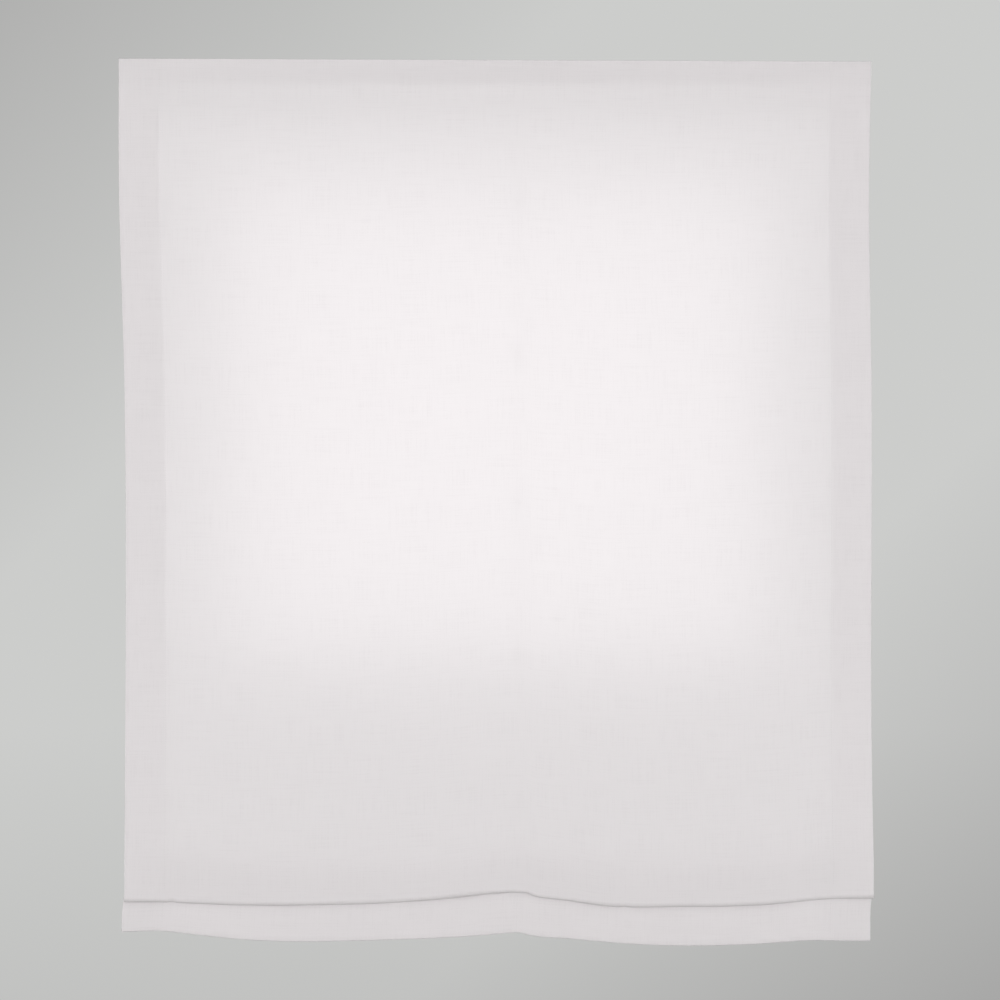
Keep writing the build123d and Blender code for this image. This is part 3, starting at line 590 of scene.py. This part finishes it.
def column_path(x):
    """The cloth's line in Y and Z at one x, from the heading's raw edge to the bottom hem's raw edge."""
    fold_drop, turn_drop, hem_drop = drops_at(x)
    fold_y = FRONT_Y + FOLD_FRONT_BEND
    fold_z = CLOTH_TOP - fold_drop + FOLD_ROUND + BEND_ROOM
    turn_z = CLOTH_TOP - turn_drop - TURN_BEND - BEND_ROOM
    hem_z = CLOTH_TOP - hem_drop + HEM_ROOM
    hem_end = (LOWER_Y + TURNED_GAP, hem_z + BOTTOM_HEM)
    small = TURNED_GAP / 2
    points = []

    def straight(name, y, start, end, end_y=None):
        count = STEPS[name]
        lean = 0 if end_y is None else end_y - y
        for step in range(count):
            points.append((y + lean * step / count, start + (end - start) * step / count))

    def arc(name, centre_y, centre_z, radius, start, end, height=None):
        count = STEPS[name]
        for step in range(count):
            turn = start + (end - start) * step / count
            rise = (height or radius) * math.sin(turn)
            points.append((centre_y + radius * math.cos(turn), centre_z + rise))

    straight("heading", FRONT_Y + TURNED_GAP, CLOTH_TOP - HEADING_TURN, CLOTH_TOP - small)
    arc("top", FRONT_Y + small, CLOTH_TOP - small, small, 0, math.pi)
    straight("front", FRONT_Y, CLOTH_TOP - small, fold_z)
    arc("fold", fold_y, fold_z, FOLD_FRONT_BEND, math.pi, 1.5 * math.pi, FOLD_ROUND)
    arc("fold_back", fold_y, fold_z, FOLD_BACK_BEND, 1.5 * math.pi, 2 * math.pi, FOLD_ROUND)
    straight("middle", MIDDLE_Y, fold_z, turn_z)
    arc("turn", MIDDLE_Y + TURN_BEND, turn_z, TURN_BEND, math.pi, 0)
    straight("lower", LOWER_Y, turn_z, hem_z + HEM_BULGE)
    arc("hem", LOWER_Y + HEM_BULGE, hem_z + HEM_BULGE, HEM_BULGE, math.pi, 2 * math.pi)
    straight("hem_back", LOWER_Y + 2 * HEM_BULGE, hem_z + HEM_BULGE, hem_end[1], hem_end[0])
    points.append(hem_end)
    return np.array(points)


def lay_cloth(x, across):
    """One column of the cloth as points, with its soft shape, set back by some millimetres across it."""
    line = column_path(x)
    along = np.gradient(line, axis=0)
    along /= np.linalg.norm(along, axis=1)[:, None]
    back = np.stack([-along[:, 1], along[:, 0]], axis=1)
    shift = np.zeros(len(line))
    drift = np.zeros(len(line))
    for row in range(ENDS["top"], ENDS["front"]):
        shift[row] = front_shift(x, line[row, 1])
    fold = slice(ENDS["front"], ENDS["fold_back"])
    middle = slice(ENDS["fold_back"], ENDS["middle"])
    edge_shift = shift[ENDS["front"] - 1]
    shift[fold] = edge_shift * np.linspace(1, FOLD_SHIFT_LEFT, len(shift[fold]))
    shift[middle] = edge_shift * np.linspace(FOLD_SHIFT_LEFT, 0, len(shift[middle]))
    fold_z = CLOTH_TOP - drops_at(x)[0]
    wave = LOWER_WAVE * math.sin(x * LOWER_WAVE_TURN + LOWER_WAVE_PHASE)
    wave += LOWER_RIPPLE * noise.noise((x * LOWER_RIPPLE_STEP, *LOWER_RIPPLE_LAYER))
    for row in range(ENDS["turn"], len(line)):
        z = line[row, 1]
        down = min(max((CLOTH_TOP - TURN_DROP - z) / LOWER_RUN, 0), 1)
        below = min(max((fold_z + LEAN_ABOVE_FOLD - z) / LEAN_RUN, 0), 1)
        below = below * below * (3 - 2 * below)
        shift[row] = min(wave, LOWER_LIMIT) * down - LOWER_LEAN * below
        drift[row] = LOWER_DRIFT * below
    line = line + back * across
    y = line[:, 0] + shift
    z = line[:, 1]
    top_weight = np.clip((z - TILT_END) / (CLOTH_TOP - TILT_END), 0, 1)
    z = z - TOP_TILT * (x / HALF_WIDTH) * top_weight
    return np.stack([x + edge_drift(x, z) + drift, y, z], axis=1)


def edge_drift(x, z):
    """The cloth hangs a few millimetres out of true: to the left at the top and to the right lower down."""
    left, right = [smooth_line(z, EDGE_STOPS, edge) for edge in (LEFT_EDGE, RIGHT_EDGE)]
    return left + (right - left) * (x / HALF_WIDTH + 1) / 2


def object_from(name, verts, faces, uvs=None):
    """A smooth mesh object, in metres, from points in millimetres."""
    mesh = bpy.data.meshes.new(name)
    mesh.from_pydata((np.asarray(verts) * MM).tolist(), [], faces)
    if uvs is not None:
        layer = mesh.uv_layers.new(name="UVMap")
        index = np.empty(len(mesh.loops), dtype=np.int32)
        mesh.loops.foreach_get("vertex_index", index)
        layer.data.foreach_set("uv", (np.asarray(uvs)[index] * MM).ravel())
    mesh.polygons.foreach_set("use_smooth", [True] * len(mesh.polygons))
    obj = bpy.data.objects.new(name, mesh)
    bpy.context.scene.collection.objects.link(obj)
    return obj


def thicken(obj, thickness):
    """Gives a sheet its thickness and keeps the result as its mesh."""
    modifier = obj.modifiers.new("thickness", "SOLIDIFY")
    modifier.thickness = thickness
    modifier.offset = 0
    graph = bpy.context.evaluated_depsgraph_get()
    solid = bpy.data.meshes.new_from_object(obj.evaluated_get(graph))
    obj.modifiers.clear()
    obj.data = solid


def cloth_columns():
    """Places across the cloth, from the left hem's raw edge round to the right one's, as (x, set back)."""
    steps = np.arange(-PUCKER_REACH, PUCKER_REACH + PUCKER_STEP / 2, PUCKER_STEP)
    tucks = [place + step for place, rise in PUCKERS for step in steps]
    main = np.linspace(-HALF_WIDTH, HALF_WIDTH, CLOTH_COLUMNS)
    main = np.sort(np.concatenate([main, [t for t in tucks if np.abs(main - t).min() > COLUMN_ROOM]]))
    hem = np.linspace(0, SIDE_HEM, HEM_COLUMNS)
    radius = LAYER_GAP / 2
    turn = np.linspace(0, math.pi, EDGE_COLUMNS + 2)[1:-1]
    right = [(HALF_WIDTH + radius * math.sin(t), radius * (1 - math.cos(t))) for t in turn]
    right += [(HALF_WIDTH - h, LAYER_GAP) for h in hem]
    left = [(-x, across) for x, across in reversed(right)]
    return left + [(float(x), 0.0) for x in main] + right


def make_cloth():
    """The one panel: heading, front, fold, turned-back layers and bottom hem, with its doubled side hems."""
    grid = np.array([lay_cloth(x, across) for x, across in cloth_columns()])
    columns, rows = grid.shape[:2]
    width = np.linalg.norm(np.diff(grid, axis=0), axis=2).mean(axis=1)
    length = np.linalg.norm(np.diff(grid, axis=1), axis=2).mean(axis=0)
    u = np.concatenate([[0], np.cumsum(width)])
    v = np.concatenate([[0], np.cumsum(length)])
    uvs = np.stack(np.meshgrid(u, v, indexing="ij"), axis=2).reshape(-1, 2)
    faces = []
    for c in range(columns - 1):
        for r in range(rows - 1):
            a = c * rows + r
            faces.append((a, a + 1, a + rows + 1, a + rows))
    cloth = object_from("cloth", grid.reshape(-1, 3), faces, uvs)
    thicken(cloth, WEAVE_THICK * MM)
    cloth.data.materials.append(cloth_material())
    return cloth


# Stitches, in millimetres

STITCH_X = 446.5
STITCH_PITCH = 3.2
STITCH_LENGTH = 2.3
STITCH_RADIUS = 0.17
STITCH_STAND = 0.03
STITCH_SIDES = 6
# A stitch's swell, as (share of its length, share of its radius)
STITCH_SHARES = ((0.0, 0.35), (0.16, 0.9), (0.5, 1.0), (0.84, 0.9), (1.0, 0.35))
HEM_SEAM_MARGIN = 4.0
HEM_SEAM_PLACES = 120
# Rows of the cloth's line that a side seam leaves free at its upper end, on the front and on the back
SEAM_FREE_FRONT = 1
SEAM_FREE_BACK = 5


def stitch_line(points, offset):
    """Places of stitches along a line of points, each with its two ends, set off by a vector."""
    points = np.asarray(points) + np.asarray(offset)
    steps = np.linalg.norm(np.diff(points, axis=0), axis=1)
    run = np.concatenate([[0], np.cumsum(steps)])
    starts = np.arange(STITCH_PITCH, run[-1] - STITCH_PITCH, STITCH_PITCH)
    ends = []
    for places in (starts, starts + STITCH_LENGTH):
        ends.append(np.stack([np.interp(places, run, points[:, k]) for k in range(3)], axis=1))
    return list(zip(*ends))


def stitch_mesh(name, lines):
    """Short plump threads between pairs of points."""
    verts, faces = [], []
    for start, end in lines:
        way = end - start
        unit = way / np.linalg.norm(way)
        lies_across = abs(unit[0]) >= 0.7
        other = np.array([0, 0, 1.0]) if lies_across else np.array([1.0, 0, 0])
        a = np.cross(unit, other)
        a /= np.linalg.norm(a)
        b = np.cross(unit, a)
        base = len(verts)
        for share, fat in STITCH_SHARES:
            for side in range(STITCH_SIDES):
                turn = 2 * math.pi * side / STITCH_SIDES
                out = a * math.cos(turn) + b * math.sin(turn)
                verts.append(start + way * share + STITCH_RADIUS * fat * out)
        for ring in range(len(STITCH_SHARES) - 1):
            p = base + ring * STITCH_SIDES
            for side in range(STITCH_SIDES):
                q = (side + 1) % STITCH_SIDES
                faces.append((p + side, p + q, p + STITCH_SIDES + q, p + STITCH_SIDES + side))
        faces.append(tuple(base + s for s in reversed(range(STITCH_SIDES))))
        top = base + (len(STITCH_SHARES) - 1) * STITCH_SIDES
        faces.append(tuple(top + s for s in range(STITCH_SIDES)))
    return object_from(name, verts, faces)


def make_stitches():
    """Rows of stitches that hold the side hems and the bottom hem."""
    skin = WEAVE_THICK / 2 + STITCH_STAND
    lines = []
    for x in (-STITCH_X, STITCH_X):
        face = lay_cloth(x, 0.0)
        rear = lay_cloth(x, LAYER_GAP)
        lines += stitch_line(face[ENDS["top"] + SEAM_FREE_FRONT:ENDS["front"]], (0, -skin, 0))
        lines += stitch_line(rear[ENDS["top"] + SEAM_FREE_BACK:ENDS["front"]], (0, skin, 0))
        lines += stitch_line(face[ENDS["turn"] + SEAM_FREE_FRONT:ENDS["lower"]], (0, -skin, 0))
    seam_end = HALF_WIDTH - HEM_SEAM_MARGIN
    columns = [lay_cloth(x, 0.0) for x in np.linspace(-seam_end, seam_end, HEM_SEAM_PLACES)]
    lines += stitch_line([column[-2] for column in columns], (0, skin, 0))
    return stitch_mesh("hem_stitches", lines)


# Cords and ring threads, in millimetres

BRAID_RADIUS = 0.68
BRAID_SWELL = 0.03
BRAID_LOBES = 4
BRAID_TWIST = 1.9
BRAID_SIDES = 10
BRAID_ROWS = 420
CORD_END_GAP = 0.5
TACK_LOOPS = 4
TACK_PITCH = 0.62
TACK_LEAN = 0.14
TACK_RADIUS = 1.42
TACK_WIRE = 0.2
TACK_AROUND = 18
TACK_SIDES = 6


def make_cord(side):
    """A braided lift cord from its spool straight down into its adjuster."""
    verts, faces, uvs = [], [], []
    for row in range(BRAID_ROWS + 1):
        z = (CORD_FOOT + CORD_END_GAP) * row / BRAID_ROWS
        for k in range(BRAID_SIDES):
            turn = 2 * math.pi * k / BRAID_SIDES
            radius = BRAID_RADIUS * (1 + BRAID_SWELL * math.sin(BRAID_LOBES * turn + row * BRAID_TWIST))
            verts.append((CORD_X[side] + radius * math.cos(turn), CORD_Y + radius * math.sin(turn), z))
            uvs.append((CORD_RADIUS * turn, z))
    for row in range(BRAID_ROWS):
        for k in range(BRAID_SIDES):
            a = row * BRAID_SIDES + k
            b = row * BRAID_SIDES + (k + 1) % BRAID_SIDES
            faces.append((a, a + BRAID_SIDES, b + BRAID_SIDES, b))
    faces.append(tuple(range(BRAID_SIDES)))
    faces.append(tuple(BRAID_ROWS * BRAID_SIDES + k for k in reversed(range(BRAID_SIDES))))
    return object_from(f"braided_cord_{side}", verts, faces, uvs)


def thread_loop(centre, lean, verts, faces):
    """One closed loop of thread round a ring's wire."""
    axis = np.array([1.0, 0.0, lean])
    axis /= np.linalg.norm(axis)
    side = np.array([0, 1.0, 0])
    up = np.cross(axis, side)
    base = len(verts)
    for i in range(TACK_AROUND):
        turn = 2 * math.pi * i / TACK_AROUND
        out = side * math.cos(turn) + up * math.sin(turn)
        middle = np.asarray(centre) + TACK_RADIUS * out
        for k in range(TACK_SIDES):
            bend = 2 * math.pi * k / TACK_SIDES
            verts.append(middle + TACK_WIRE * (out * math.cos(bend) + axis * math.sin(bend)))
    for i in range(TACK_AROUND):
        here = base + i * TACK_SIDES
        ahead = base + (i + 1) % TACK_AROUND * TACK_SIDES
        for k in range(TACK_SIDES):
            j = (k + 1) % TACK_SIDES
            faces.append((here + k, here + j, ahead + j, ahead + k))


def make_ring_threads(row):
    """The tack that sews each ring of a row to the cloth."""
    if row == 1:
        y, z = CORD_Y, LOW_RING_Z - RING_MID_RADIUS
    else:
        y, z = ROW_Y - RING_MID_RADIUS, ROW_Z[RING_ROWS - row]
    verts, faces = [], []
    for x in CORD_X.values():
        for number in range(TACK_LOOPS):
            aside = number - (TACK_LOOPS - 1) / 2
            thread_loop((x + aside * TACK_PITCH, y, z), aside * TACK_LEAN, verts, faces)
    return object_from(f"ring_threads_{row}", verts, faces)


# The finish of every other piece, by material slot, and of the two tapes, by node


def make_finishes():
    """The materials of the rail, its fittings, the rings and the wound cord."""
    return {
        "white_aluminium": grained(
            "powder_coat", dark=(0.70, 0.70, 0.69), pale=(0.76, 0.76, 0.75),
            cells=(700, 700, 700), roughness=(0.38, 0.52), depth=0.00008,
        ),
        "shaft_metal": grained(
            "drawn_bar", dark=(0.52, 0.53, 0.54), pale=(0.68, 0.69, 0.70),
            cells=(12, 900, 900), roughness=(0.25, 0.42), depth=0.00005, metallic=1.0,
        ),
        "white_plastic": grained(
            "moulded_plastic", dark=(0.69, 0.69, 0.68), pale=(0.75, 0.75, 0.74),
            cells=(1300, 1300, 1300), roughness=(0.42, 0.58), depth=0.00006,
        ),
        "pale_nylon": grained(
            "natural_nylon", dark=(0.60, 0.585, 0.54), pale=(0.68, 0.665, 0.62),
            cells=(420, 420, 420), roughness=(0.36, 0.5), depth=0.00005,
        ),
        "ring_plastic": grained(
            "ring_plastic", dark=(0.72, 0.72, 0.71), pale=(0.79, 0.79, 0.78),
            cells=(350, 350, 350), roughness=(0.2, 0.34), depth=0.00004,
        ),
        "spring_steel": grained(
            "spring_wire", dark=(0.32, 0.32, 0.33), pale=(0.5, 0.5, 0.51),
            cells=(1800, 300, 300), roughness=(0.22, 0.4), depth=0.00004, metallic=1.0,
        ),
        "zinc_steel": grained(
            "zinc_plate", dark=(0.46, 0.47, 0.48), pale=(0.62, 0.63, 0.64),
            cells=(260, 260, 260), roughness=(0.28, 0.48), depth=0.00005, metallic=1.0,
        ),
        "lock_steel": grained(
            "lock_plate", dark=(0.42, 0.43, 0.44), pale=(0.58, 0.59, 0.6),
            cells=(40, 900, 300), roughness=(0.26, 0.44), depth=0.00005, metallic=1.0,
        ),
        "white_cord": grained(
            "wound_braid", dark=(0.64, 0.64, 0.62), pale=(0.78, 0.78, 0.76),
            cells=(1600, 1600, 1600), roughness=(0.62, 0.85), depth=0.00012,
        ),
    }


def dress_nodes():
    """Gives each carried-over node its finish."""
    finishes = make_finishes()
    tapes = {
        "hook_tape": tape_material("hook_pile", cells=620, depth=0.0006),
        "loop_tape": tape_material("loop_pile", cells=1100, depth=0.0004),
    }
    for subpart in frame["record"]["subparts"]:
        name = subpart["node"]
        surface = tapes.get(name) or finishes.get(subpart["material_slot"])
        if surface is None:
            continue
        slots = frame["nodes"][name].data.materials
        slots.clear()
        slots.append(surface)


# The blind

add_camera()
add_world()
add_floor()
add_area_light("key", place=(-1.6, -3.6, -0.9), target=(0, 0, -0.8), size=(2.6, 2.6), power=67)
add_area_light("fill", place=(2.0, -3.2, -1.3), target=(0, 0, -0.8), size=(2.4, 2.4), power=49)
add_area_light("glow", place=(0.0, 0.05, -0.453), target=(0, 0, -0.453), size=(0.74, 0.655), power=1.36)
add_area_light("over", place=(0.0, 1.2, 1.2), target=(0, -0.02, -0.1), size=(1.6, 0.9), power=9)

cloth = make_cloth()
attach(cloth, "rail_and_cloth")
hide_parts("cloth_panel")
stitches = make_stitches()
thread = thread_material()
stitches.data.materials.append(thread)
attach(stitches, "rail_and_cloth")
for piece in (cloth, stitches):
    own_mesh(piece)

braid = braid_material()
for side in CORD_X:
    cord = make_cord(side)
    cord.data.materials.append(braid)
    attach(cord, "rail_and_cloth")
    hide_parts(f"lift_cord_{side}")
    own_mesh(cord)

for row in range(1, RING_ROWS + 1):
    tack = make_ring_threads(row)
    tack.data.materials.append(thread)
    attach(tack, f"rings_{row}")

dress_nodes()
bpy.context.scene.view_settings.view_transform = "Standard"
